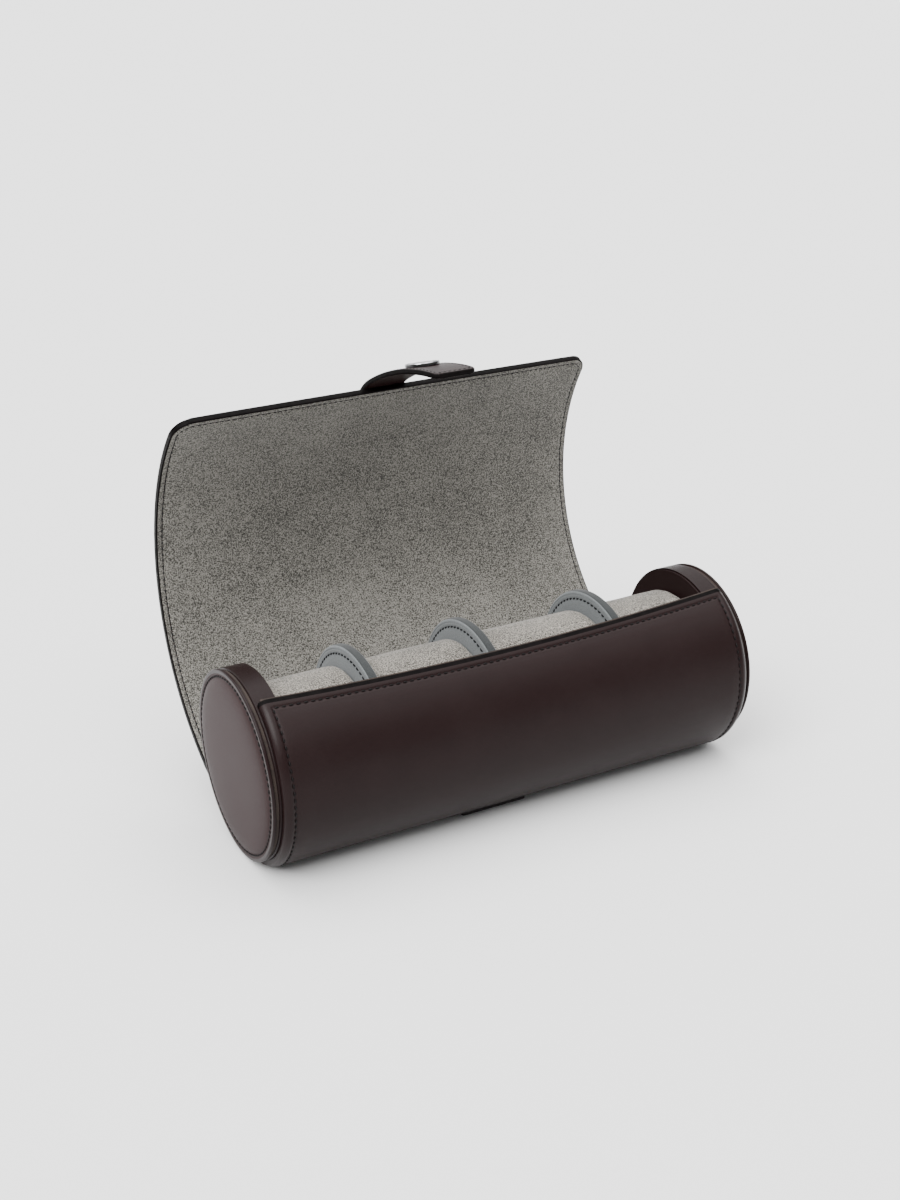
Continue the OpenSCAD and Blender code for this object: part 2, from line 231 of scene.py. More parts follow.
class Finish:
    """a material for one finish, with its nodes"""

    def __init__(self, name, **shader):
        self.material = bpy.data.materials.new(name)
        self.material.use_nodes = True
        self.tree = self.material.node_tree
        self.shader = self.tree.nodes["Principled BSDF"]
        self.place = self.tree.nodes.new("ShaderNodeTexCoord").outputs["Object"]
        for socket, value in shader.items():
            self.shader.inputs[socket.replace("_", " ")].default_value = value

    def node(self, kind, settings=None, sockets=None):
        made = self.tree.nodes.new(kind)
        for key, value in (settings or {}).items():
            setattr(made, key, value)
        for key, value in (sockets or {}).items():
            self.feed(made.inputs[key], value)
        return made

    def feed(self, socket, value):
        value = value.socket if isinstance(value, Value) else value
        if isinstance(value, bpy.types.NodeSocket):
            self.tree.links.new(value, socket)
        elif socket.type == "RGBA" and len(value) == 3:
            socket.default_value = (*value, 1)
        else:
            socket.default_value = value

    def value(self, kind, settings=None, sockets=None, out=0):
        return Value(self, self.node(kind, settings, sockets).outputs[out])

    def noise(self, scale, detail=3.0, rough=0.5):
        """noise from 0 to 1, with scale in lumps per metre"""
        sockets = {"Vector": self.place, "Scale": scale, "Detail": detail, "Roughness": rough}
        return self.value("ShaderNodeTexNoise", None, sockets)

    def cells(self, scale, feature="DISTANCE_TO_EDGE"):
        """small cells, with scale in cells per metre"""
        return self.value("ShaderNodeTexVoronoi", {"feature": feature}, {"Vector": self.place, "Scale": scale})

    def between(self, value, low, high, to_low=0.0, to_high=1.0):
        """the value's way from low to high, eased, as a number from to_low to to_high"""
        sockets = {"Value": value, "From Min": low, "From Max": high, "To Min": to_low, "To Max": to_high}
        return self.value("ShaderNodeMapRange", {"interpolation_type": "SMOOTHSTEP"}, sockets)

    def mix(self, share, one, two):
        """a colour between two colours"""
        made = self.node("ShaderNodeMix", {"data_type": "RGBA"}, {0: share, 6: one, 7: two})
        return made.outputs[2]

    def paint(self, colour, rough, height=None, depth=0.1):
        """puts colour, roughness and a relief of the given depth in millimetres on the material"""
        self.feed(self.shader.inputs["Base Color"], colour)
        self.feed(self.shader.inputs["Roughness"], rough)
        if height is not None:
            bump = self.node("ShaderNodeBump", None, {"Height": height, "Distance": depth * MM, "Strength": 1.0})
            self.feed(self.shader.inputs["Normal"], bump.outputs[0])
        return self.material


def calf(name, dark, light, rough=0.38, grain=1.0, shine=0.14):
    """smooth, softly glossy calf: fine pores, faint cloudy dye and a little handling wear"""
    f = Finish(name, Specular_IOR_Level=shine)
    clouds = f.noise(38, 3)
    pores = f.cells(1500)
    lumps = f.noise(900, 3, 0.6)
    creases = f.noise(120, 4, 0.6)
    skin = f.between(pores, 0.0, 0.12)
    dye = f.between(clouds * 0.75 + lumps * 0.25, 0.36, 0.66)
    colour = f.mix(dye, dark, light)
    colour = f.mix(f.between(skin, 0, 1, 0.22, 0), colour, tuple(c * 0.4 for c in dark))
    height = (skin * 0.35 + lumps * 0.65) * grain + creases * 0.35
    wear = f.between(clouds * 0.5 + lumps * 0.5, 0.3, 0.7, rough - 0.02, rough + 0.03)
    return f.paint(colour, wear, height, 0.05)


def suede(name, dark, light, speck=1.0, lay=0.06, clouds=60.0):
    """napped suede: fine specks of turned pile over soft clouds"""
    f = Finish(name, Specular_IOR_Level=0.12, Sheen_Weight=0.12, Sheen_Roughness=0.55)
    cloud = f.noise(clouds, 2, 0.5)
    patches = f.noise(clouds * 0.25, 2)
    pile = f.noise(1400, 1, 0.5)
    fine = f.noise(2500, 2, 0.6)
    shade = cloud * 0.06 + patches * 0.06 + (pile * 0.6 + fine * 0.4) * speck
    middle, spread = 0.06 + 0.5 * speck, 0.03 + 0.08 * speck
    colour = f.mix(f.between(shade, middle - spread, middle + spread), dark, light)
    return f.paint(colour, f.between(cloud, 0.3, 0.7, 0.86, 0.97), pile * 0.6 + fine * 0.4 + cloud * 0.8, lay)


def thread(name, dark, light):
    """waxed thread, its plies running slantwise"""
    f = Finish(name, Specular_IOR_Level=0.12)
    sockets = {"Vector": f.place, "Scale": 900.0, "Distortion": 1.2, "Detail": 1.0}
    plies = f.value("ShaderNodeTexWave", {"bands_direction": "DIAGONAL"}, sockets)
    fuzz = f.noise(2400, 2)
    shade = plies * 0.7 + fuzz * 0.3
    return f.paint(f.mix(shade, dark, light), f.between(fuzz, 0.3, 0.7, 0.5, 0.68), shade, 0.06)


def painted_edge(name, dark, light):
    """edge paint, burnished over the cut of the leather"""
    f = Finish(name, Specular_IOR_Level=0.03)
    run = f.noise(260, 4)
    fine = f.noise(1500, 2)
    colour = f.mix(f.between(run, 0.35, 0.65), dark, light)
    return f.paint(colour, f.between(fine, 0.3, 0.7, 0.42, 0.6), run * 0.6 + fine * 0.4, 0.05)


def board(name, dark, light):
    """grey board coloured dark as painted shade for the grooves it shows in, its fibres showing faintly"""
    f = Finish(name, Specular_IOR_Level=0.2)
    fibres = f.noise(700, 5, 0.7)
    blots = f.noise(90, 3)
    colour = f.mix(f.between(fibres * 0.6 + blots * 0.4, 0.35, 0.65), dark, light)
    return f.paint(colour, f.between(fibres, 0.3, 0.7, 0.72, 0.9), fibres, 0.08)


def foam(name, dark, light):
    """open-celled foam, darker in its bubbles"""
    f = Finish(name, Specular_IOR_Level=0.15)
    bubbles = f.cells(900, "F1")
    soft = f.noise(120, 3)
    colour = f.mix(f.between(bubbles, 0.1, 0.6), light, dark)
    return f.paint(colour, f.between(soft, 0.3, 0.7, 0.85, 0.95), 1 - bubbles, 0.25)


def polished_steel(name, dark, light):
    """bright plated steel with faint turning marks and smears"""
    f = Finish(name, Metallic=1.0)
    smears = f.noise(220, 4)
    fine = f.noise(3000, 2)
    colour = f.mix(f.between(smears, 0.3, 0.7), dark, light)
    rough = f.between(smears * 0.7 + fine * 0.3, 0.3, 0.7, 0.1, 0.22)
    return f.paint(colour, rough, smears * 0.5 + fine * 0.5, 0.01)


BROWN = calf("brown_calf", (0.008, 0.0034, 0.0034), (0.0092, 0.0042, 0.0042), 0.4, 1.0, 0.1)
DRUM = calf("covered_wood_calf", (0.0066, 0.0029, 0.0029), (0.0078, 0.0036, 0.0036), 0.38, 1.0, 0.09)
COVER = calf("end_cover_calf", (0.0231, 0.0139, 0.0141), (0.0265, 0.0165, 0.0167), 0.4, 0.6, 0.03)
CORDED = calf("corded_calf", (0.0074, 0.0032, 0.0032), (0.0088, 0.0041, 0.0041), 0.33, 0.3, 0.1)
TAB = calf("tab_calf", (0.0088, 0.004, 0.004), (0.013, 0.0066, 0.0066), 0.36)
DARK = calf("dark_calf", (0.00476, 0.00306, 0.00299), (0.00748, 0.0051, 0.0051), 0.5)
EDGE = painted_edge("edge_paint", (0.0015, 0.00109, 0.00109), (0.00272, 0.00204, 0.00204))
THREAD = thread("brown_thread", (0.000816, 0.000612, 0.000612), (0.00408, 0.00306, 0.00306))
DARK_THREAD = thread("dark_thread", (0.00136, 0.00136, 0.00177), (0.00612, 0.00646, 0.00816))
FLAP_SUEDE = suede("taupe_suede", (0.0221, 0.021, 0.0181), (0.166, 0.158, 0.141))
CUSHION_SUEDE = suede("pale_suede", (0.0145, 0.013, 0.0105), (0.199, 0.184, 0.161), 0.8, 0.05, 60.0)
# one grey-blue suede in two copies: the darker one is painted shade for the dividers' rounded rims, the lighter one
# is painted light for their flat faces
DIVIDER_RIM_PAINTED_SHADE = suede("grey_blue_suede_rim_painted_shade", (0.0152, 0.0166, 0.017), (0.0236, 0.0256, 0.026), 0.5, 0.03, 70.0)
DIVIDER_FACE_PAINTED_LIGHT = suede("grey_blue_suede_face_painted_light", (0.0761, 0.0818, 0.0837), (0.105, 0.112, 0.114), 0.5, 0.03, 70.0)
# painted shade: the board's dark colour stands for the shadow in the groove round each end cover and in the strip
# above the wrap's lip
BOARD_PAINTED_SHADE = board("board_painted_shade", (0.0136, 0.00952, 0.00816), (0.0306, 0.0218, 0.0177))
FOAM = foam("cushion_foam", (0.354, 0.326, 0.258), (0.49, 0.462, 0.394))
STEEL = polished_steel("bright_steel", (0.30, 0.30, 0.31), (0.44, 0.44, 0.45))
# a dark copy of the steel: painted shade for the snap cap's groove and for the shadow along its side under the rim
STEEL_PAINTED_SHADE = polished_steel("steel_painted_shade", (0.035, 0.034, 0.034), (0.06, 0.058, 0.058))


def dress(piece, *materials):
    piece.data.materials.clear()
    for material in materials:
        piece.data.materials.append(material)


def second_material(piece, wanted, index=1):
    """gives the faces that wanted() says another of the piece's materials"""
    for face in piece.data.polygons:
        if wanted(face.center / MM, face.normal):
            face.material_index = index


# ---------- stitches ----------
def make_stitch():
    """one stitch, laid along Y: pulled down at both ends, fat in the middle"""
    stitch = begin("stitch", bpy.ops.mesh.primitive_uv_sphere_add, segments=8, ring_count=5, radius=MM,
                   rotation=(pi / 2, 0, 0))
    move_points(stitch, lambda x, y, z: (x * 0.42, y * 1.15, z * 0.34 - 0.24 * y * y))
    smooth(stitch, 80)
    return stitch


STITCH = make_stitch()


def sew(piece, places, material_index, size=1.0):
    """sews a row into a piece: places are (point, along, out) in millimetres"""
    row = []
    for point, along, out in places:
        along, out = Vector(along).normalized(), Vector(out).normalized()
        side = along.cross(out)
        turn = Matrix((side, along, out)).transposed().to_4x4()
        one = copy_of(STITCH, "sewn")
        one.data.transform(Matrix.Translation(Vector(point) * MM) @ turn @ Matrix.Scale(size, 4))
        dress(one, *piece.data.materials)
        second_material(one, all_of, material_index)
        row.append(one)
    return join(piece, *row)


def along_line(points, pitch):
    """evenly spaced (point, direction) along a line of points"""
    points = [Vector(p) for p in points]
    lengths = [(b - a).length for a, b in zip(points, points[1:])]
    count = max(1, round(sum(lengths) / pitch))
    step = sum(lengths) / count
    found, at, walked = [], step / 2, 0
    for a, b, length in zip(points, points[1:], lengths):
        while at <= walked + length and len(found) < count:
            found.append((a + (b - a) * ((at - walked) / length), b - a))
            at += step
        walked += length
    return found


def ring_places(x, radius, out_x, pitch, centre_z):
    """places of a ring of stitches on a disc that faces along X"""
    count, slant = round(2 * pi * radius / pitch), 0.10
    found = []
    for i in range(count):
        a = 2 * pi * i / count
        point = (x, radius * cos(a), centre_z + radius * sin(a))
        along = (0, -sin(a) + slant * cos(a), cos(a) + slant * sin(a))
        found.append((point, along, (out_x, 0, 0)))
    return found


# ---------- the forms that the flat sheets are bent on ----------
def wrap_edge(x):
    """polar angle of the wrap's bowed front edge"""
    bow = (WRAP_HALF**2 + 25) / 10
    rise = bow - sqrt(bow * bow - x * x) + tan(radians(0.44)) * x
    return EDGE_POLAR - degrees(asin(rise / WRAP_R))


def on_wrap(x, s, up):
    """a point of the wrap: s from the front edge round the belly to the flap's root, up out of its outer face"""
    if s < FRONT_S:
        polar = wrap_edge(x) + (FOOT_POLAR - wrap_edge(x)) * s / FRONT_S
        outer = Vector((WRAP_R * cos(radians(polar)), AXIS_Z + WRAP_R * sin(radians(polar))))
    elif s < FRONT_S + BACK_S:
        outer = Vector((s - FRONT_S - FOOT_HALF, 0))
    else:
        rest = s - FRONT_S - BACK_S
        outer = Vector((BELLY_BACK + rest * cos(radians(ROOT_TILT)), rest * sin(radians(ROOT_TILT))))
    centre = Vector((0, AXIS_Z))
    way = (centre - outer).normalized()
    inner = centre - way * LINING_IN
    place = outer + (inner - outer) * (-up / WALL)
    return (x, place.x, place.y)


def on_flap(x, s, up):
    """a point of the open flap: s from its root, up out of its lining"""
    tilt = CURL_TILT
    if s <= STRAIGHT:
        flat = Vector((x, s, up))
    else:
        rest = s - STRAIGHT
        u = x * cos(tilt) + rest * sin(tilt)
        v = rest * cos(tilt) - x * sin(tilt)
        radius = CURL_R - up
        if v > 0:
            b, n = radius * sin(v / CURL_R), CURL_R - radius * cos(v / CURL_R)
        else:
            b, n = v, up
        a, c = Vector((cos(tilt), sin(tilt), 0)), Vector((-sin(tilt), cos(tilt), 0))
        bent = u * a + b * c
        flat = Vector((bent.x, STRAIGHT + bent.y, n))
    turned = Matrix.Rotation(radians(ROOT_TILT), 3, "X") @ flat
    return ROOT + turned


def flap_frame(s):
    """place and directions (across, along, up) of the flap's middle at s"""
    here = Vector(on_flap(0, s, 0))
    across = (Vector(on_flap(0.5, s, 0)) - Vector(on_flap(-0.5, s, 0))).normalized()
    along = Vector(on_flap(0, s + 0.5, 0)) - Vector(on_flap(0, s - 0.5, 0))
    along = (along - along.dot(across) * across).normalized()
    return here, across, along, across.cross(along)


def tab_middle_line(s):
    """the middle of the tab's underside, in the frame of the flap's free edge: (along, up)"""
    if s < 0:
        turn = s / CURL_R
        return Vector((CURL_R * sin(turn), CURL_R - CURL_R * cos(turn) - FLAP_T - LAY))
    turn = s / TAB_R
    along, up = TAB_R * sin(turn), TAB_R - TAB_R * cos(turn)
    lifted = along * sin(TAB_BEND) + up * cos(TAB_BEND)
    return Vector((along * cos(TAB_BEND) - up * sin(TAB_BEND), lifted - FLAP_T - LAY))


def tab_line(s):
    """the same, with the bend at the flap's edge eased over 5 mm each side"""
    ease = 5
    if abs(s) >= ease:
        return tab_middle_line(s)
    t = (s + ease) / (2 * ease)
    a, b = tab_middle_line(-ease), tab_middle_line(ease)
    middle = (tab_middle_line(-0.01) + tab_middle_line(0.01)) / 2
    return a * (1 - t) ** 2 + middle * (2 * t * (1 - t)) + b * t * t


def on_tab(x, s, up):
    """a point of the tab: s from the flap's edge, up from its underside to its outer face"""
    here, across, along, out = flap_frame(FLAP_L)
    place, ahead = tab_line(s), tab_line(s + 0.05) - tab_line(s - 0.05)
    ahead.normalize()
    lift = Vector((ahead.y, -ahead.x))
    place = place + lift * up
    return here + (x + TAB_SHIFT) * across + place.x * along + place.y * out


# ---------- flat sheets ----------
def rows(low, high, step, *fine):
    """cuts from low to high about step apart, with the fine ones as well"""
    count = max(1, ceil((high - low) / step))
    even = (low + (high - low) * i / count for i in range(1, count))
    found = sorted({low, high, *even, *fine})
    kept = [found[0]]
    for at in found[1:]:
        if at - kept[-1] > 0.35 or at in fine or at == high:
            kept.append(at)
    return kept


def sheet(name, across, along, top):
    """a flat sheet with thickness, its cells laid out by two lists of cuts"""
    nx, ny = len(across) - 1, len(along) - 1
    piece = begin(name, bpy.ops.mesh.primitive_grid_add, x_subdivisions=nx, y_subdivisions=ny, size=2 * MM)
    move_points(piece, lambda x, y, z: (across[round((x + 1) / 2 * nx)], along[round((y + 1) / 2 * ny)], top))
    return piece


def thicken(piece, by):
    """extrudes the sheet down into a solid"""
    pick(piece, "FACE", all_of)
    bpy.ops.mesh.extrude_region_move(TRANSFORM_OT_translate={"value": (0, 0, -by * MM)})
    bpy.ops.mesh.select_all(action="SELECT")
    bpy.ops.mesh.normals_make_consistent(inside=False)
    done()


def trim_corner(piece, x, s, radius, side):
    """rounds a free corner of a flat sheet with straight cuts"""
    middle = Vector((x - side * radius, s - radius, 0))
    for i in range(1, 10):
        a = radians(i * 9)
        way = Vector((side * cos(a), sin(a), 0))
        pick(piece, "FACE", all_of)
        bpy.ops.mesh.bisect(plane_co=(middle + way * radius) * MM, plane_no=way, clear_outer=True)
        done()


# ---------- the wrap ----------
def side_bead(edge):
    """how far the wrap's face dips under the stitches, by the distance from its edge"""
    return -0.55 * exp(-((edge - 5) / 0.8) ** 2) - 0.16 * exp(-((edge - 6.8) / 1.5) ** 2)


def cut_patch_window(wrap):
    """cuts the window that the snap socket's patch fills, while the wrap is flat"""
    front, back = PATCH_Y
    edge = wrap_edge(TAB_SHIFT)
    polar = 360 - degrees(acos(front / WRAP_R))
    low, high = (polar - edge) * FRONT_S / (FOOT_POLAR - edge), FRONT_S + FOOT_HALF + back
    window = begin("window", bpy.ops.mesh.primitive_cube_add, size=MM, scale=(2 * PATCH_HALF, high - low, 12),
                   location=(TAB_SHIFT * MM, (low + high) / 2 * MM, 0))
    finish_with(wrap, "BOOLEAN", operation="DIFFERENCE", solver="EXACT", object=window)
    bpy.data.objects.remove(window)


def make_wrap():
    """the outer leather: a turned lip at the front and the ends, a bead and a sewn channel inside them"""
    fine = (0.4, 0.9, 1.6, 2.6, 3.6, 4.2, 4.6, 5, 5.4, 5.8, 6.6, 7.6, 9, 11)
    across = rows(-WRAP_HALF, WRAP_HALF, 6, *(-WRAP_HALF + f for f in fine), *(WRAP_HALF - f for f in fine))
    total = FRONT_S + BACK_S + ROOT_S
    along = rows(0, total, 2.2, *fine)
    wrap = sheet("wrap_skin", across, along, 0)
    thicken(wrap, WALL - 0.05)
    # the tray that the board lies in, with a lip left round the front and the ends
    pick(wrap, "FACE", lambda c, n: n.z < -0.9 and c.y > 1.2 and abs(c.x) < WRAP_HALF - 1.1)
    bpy.ops.mesh.extrude_region_move(TRANSFORM_OT_translate={"value": (0, 0, (WALL - 1.05) * MM)})
    done()

    cut_patch_window(wrap)

    def relief(x, s, up):
        if up < -1.5:
            return x, s, up
        end = WRAP_HALF - abs(x)
        edge = min(end, s)
        near_corner = exp(-((end - 6) / 5) ** 2 - ((s - 6) / 5) ** 2)
        ripple = 0.07 * noise.noise(Vector((x / 5, s / 5, 3))) * exp(-((edge - 7.5) / 3) ** 2)
        pulled = 0.06 * cos(2 * pi * (s if end < s else x) / 3.6) * exp(-((edge - 5) / 1.7) ** 2)
        soft = 0.04 * (noise.noise(Vector((x / 38, s / 38, 1))) - 1)
        over = 1.9 * max(0, 1 - end / 3.9) ** 2.2
        return x, s, up + side_bead(edge) - over + ripple + pulled + soft * min(1, edge / 12) + 0.12 * near_corner
    move_points(wrap, relief)
    dress(wrap, BROWN, THREAD, EDGE, CORDED)
    second_material(wrap, lambda c, n: WRAP_HALF - abs(c.x) < 4.6 and c.y > 2 and n.z > 0.02, 3)
    second_material(wrap, lambda c, n: c.y < 1.9, 2)
    path = [(x, 5, 0) for x in (WRAP_HALF - 5, 0, -WRAP_HALF + 5)]
    side = [(-WRAP_HALF + 5, s, 0) for s in (5, 80, total - 3)]
    other = [(WRAP_HALF - 5, s, 0) for s in (total - 3, 80, 5)]
    sunk = Vector((0, 0, -0.2))
    places = [(p + sunk, d, (0, 0, 1)) for line in (other, path, side) for p, d in along_line(line, 3.6)]
    sew(wrap, places, 1, 1.0)
    faces_outwards(wrap)
    move_points(wrap, lambda x, s, up: on_wrap(x, s, up))
    smooth(wrap, 50)
    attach(wrap, "case")
    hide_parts("wrap_leather")


def make_wrap_lining():
    """the suede bed under the cushions, easing out to the flap's lining at the back"""
    half = WRAP_HALF - 1.4
    total = FRONT_S + BACK_S + ROOT_S
    lining = sheet("wrap_bed_lining", rows(-half, half, 8), rows(1.4, total, 3), 0)
    thicken(lining, 1.15)
    at_rim = lambda a, b: a.y + b.y < 2.9 or abs(abs(a.x + b.x) - 2 * half) < 0.01
    pick(lining, "EDGE", lambda a, b: min(a.z, b.z) > -0.1 and at_rim(a, b))
    round_edges(0.5, 2)
    done()

    def bed(x, s, up):
        share = max(0, min(1, (s - total + 16) / 16))
        sink = 1.5 * share ** 2 * (3 - 2 * share)
        y, z = on_wrap(x, s, -WALL)[1:]
        way = Vector((y, z - AXIS_Z)).normalized()
        radius = LINING_IN + 0.03 - up + sink
        return x, way.x * radius, AXIS_Z + way.y * radius
    move_points(lining, bed)
    faces_outwards(lining)
    smooth(lining, 50)
    dress(lining, FLAP_SUEDE)
    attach(lining, "case")
    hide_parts("wrap_lining")


# ---------- the ends ----------
# rim, sewn channel, then the pillow rising in rings: (in from the last ring, up)
COVER_RINGS = (
    (0.9, 0.06), (1.0, 0.02), (0.5, -0.16), (0.6, -0.05), (0.7, 0.0), (0.4, 0.12), (0.7, 0.36),
    (1.2, 0.36), (2.4, 0.36), (4.5, 0.30), (7.5, 0.22), (9.0, 0.12), (9.0, 0.05),
)


def make_end_cover(side, name, node):
    """a padded disc with a sewn channel inside a smooth rim"""
    out, thick = CASE_L / 2, 1.6
    cover = begin(name, bpy.ops.mesh.primitive_cylinder_add, vertices=144, radius=END_R * MM, depth=thick * MM,
                  location=(side * (out - thick / 2) * MM, 0, AXIS_Z * MM), rotation=(0, side * pi / 2, 0))
    pick(cover, "FACE", lambda c, n: n.x * side > 0.9)
    for across, up in COVER_RINGS:
        inset(across, up)
    bpy.ops.mesh.poke()
    done()
    on_rim = lambda p: abs(hypot(p.y, p.z - AXIS_Z) - END_R) < 0.01
    pick(cover, "EDGE", lambda a, b: on_rim(a) and on_rim(b) and abs(a.x - b.x) < 0.01)
    round_edges(0.6, 4)
    done()
    dress(cover, COVER, THREAD, CORDED)
    second_material(cover, lambda c, n: hypot(c.y, c.z - AXIS_Z) > END_R - 1.6, 2)
    sew(cover, ring_places(side * (out + 0.1), END_R - 3.45, side, 3.2, AXIS_Z), 1, 1.15)
    faces_outwards(cover)
    smooth(cover, 50)
    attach(cover, "case")
    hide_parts(node)


# ---------- dividers ----------
# the step at the sewn ring and the flat field inside it: (in from the last ring, up)
DIVIDER_RINGS = (
    (0.2, -0.2), (0.3, 0.16), (1.2, 0.0), (0.4, -0.16), (0.45, 0.0),
    (0.4, 0.18), (3.0, 0.04), (10, 0.0), (14, 0.0),
)


def make_divider(i, x):
    """a suede-covered disc, rounded at its rim and sewn through near it"""
    radius, middle_z = DIVIDER_R, DIVIDER_Z
    disc = begin("divider_suede_%d" % i, bpy.ops.mesh.primitive_cylinder_add, vertices=128, radius=radius * MM,
                 depth=DIVIDER_T * MM, location=((x + DIVIDER_T / 2) * MM, 0, middle_z * MM), rotation=(0, pi / 2, 0))
    pick(disc, "EDGE", lambda a, b: abs(a.x - b.x) < 0.01 and hypot(a.y, a.z - middle_z) > radius - 0.1)
    round_edges(1.5, 5)
    done()
    for side in (-1, 1):
        pick(disc, "FACE", lambda c, n: n.x * side > 0.98 and hypot(c.y, c.z - middle_z) < 5)
        for across, up in DIVIDER_RINGS:
            inset(across, up)
        bpy.ops.mesh.poke()
        done()
    # painted light and shade: the flat faces take the lighter suede copy, the rounded rim the darker one
    dress(disc, DIVIDER_RIM_PAINTED_SHADE, DARK_THREAD, DIVIDER_FACE_PAINTED_LIGHT)
    second_material(disc, lambda c, n: abs(n.x) > 0.5, 2)
    face = DIVIDER_T / 2
    for side in (-1, 1):
        places = ring_places(x + face + side * (face + 0.02), radius - 4.2, side, 3.5, middle_z)
        sew(disc, places, 1, 1.3)
    faces_outwards(disc)
    smooth(disc, 50)
    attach(disc, "case")
    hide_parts("divider_%d" % i)


# ---------- cushions ----------
def make_cushion(i, left, width):
    """a suede cover filled by its foam roll"""
    play, rim = 0.4, 3.0
    middle, core = left + width / 2, width / 2 - play - rim
    low, high = left + play + 0.9, left + width - play - 0.9
    roll = begin("cushion_suede_%d" % i, bpy.ops.mesh.primitive_cylinder_add, vertices=96,
                 radius=(CUSHION_R - 0.5) * MM, depth=(high - low) * MM,
                 location=((low + high) / 2 * MM, 0, CUSHION_Z * MM), rotation=(0, pi / 2, 0))
    pick(roll, "EDGE", lambda a, b: abs(a.x - b.x) < 0.01 and hypot(a.y, a.z - CUSHION_Z) > 30)
    round_edges(rim, 4)
    done()
    finish_with(roll, "REMESH", mode="VOXEL", voxel_size=2.4 * MM)
    before = [v.co.copy() for v in roll.data.vertices]
    take(roll)
    cloth = roll.modifiers.new("stuffing", "CLOTH")
    cloth.settings.use_pressure = True
    cloth.settings.uniform_pressure_force = 4
    cloth.settings.effector_weights.gravity = 0
    cloth.point_cache.frame_start, cloth.point_cache.frame_end = 1, CLOTH_STEPS
    for step in range(1, CLOTH_STEPS + 1):
        bpy.context.scene.frame_set(step)
    bpy.ops.object.modifier_apply(modifier=cloth.name)
    bpy.context.scene.frame_set(1)
    swell = 1.0 * MM
    for point, old in zip(roll.data.vertices, before):
        moved = point.co - old
        if moved.length > swell:
            point.co = old + moved.normalized() * swell
    finish_with(roll, "SUBSURF", levels=1, render_levels=1)

    def settle(x, y, z):
        r, a = hypot(y, z - CUSHION_Z), atan2(z - CUSHION_Z, y)
        at = Vector((x, y, z))
        soft = 0.4 * noise.noise(at / 26) + 0.16 * noise.noise(at / 9)
        # the cover keeps off the foam all round, its rounded rims too
        side = 1 if x > middle else -1
        along, out = max(side * (x - middle) - core, 0), max(r - (CUSHION_R - rim), 0)
        reach = hypot(along, out)
        if reach > 0:
            corner = 2 * along * out / reach ** 2
            grown = min(max(reach, rim - 0.55 + 0.2 * corner) + soft * 0.6, rim + 0.25) / reach
            if along > 0:
                x = middle + side * (core + along * grown)
            if out > 0:
                r = CUSHION_R - rim + out * grown
        x = min(max(x, left + 0.45), left + width - 0.45)
        return x, r * cos(a), CUSHION_Z + r * sin(a)
    move_points(roll, settle)
    dress(roll, CUSHION_SUEDE)
    smooth(roll, 80)
    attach(roll, "cushion_%d" % i)
    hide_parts("cushion_cover_%d" % i)


# ---------- the flap ----------
# each part runs from the middle of one panel to the middle of the next, over the crease between them
FLAP_CUTS = (0, 11, 33, 56.5, 81.5, 106.5, 131.5, 156.5, 181.5, 206.5, 222, FLAP_L)
FLAP_PARTS = len(FLAP_CUTS) - 1


def hang_flap_part(piece, k):
    """bakes part k's transform into its mesh, or fixes the last one to its panel"""
    low, high = FLAP_CUTS[k], FLAP_CUTS[k + 1]
    if k == FLAP_PARTS - 1:
        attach(piece, "flap_panel_10")
        return
    start, end = (Vector(on_flap(0, s, 0)) * MM for s in (low, high))
    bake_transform(piece)


def corner_distance(end, free, radius, *others):
    """distance from an outline with rounded corners, from the distances to its sides"""
    if end < radius and free < radius:
        return radius - hypot(radius - end, radius - free)
    return min(end, free, *others)


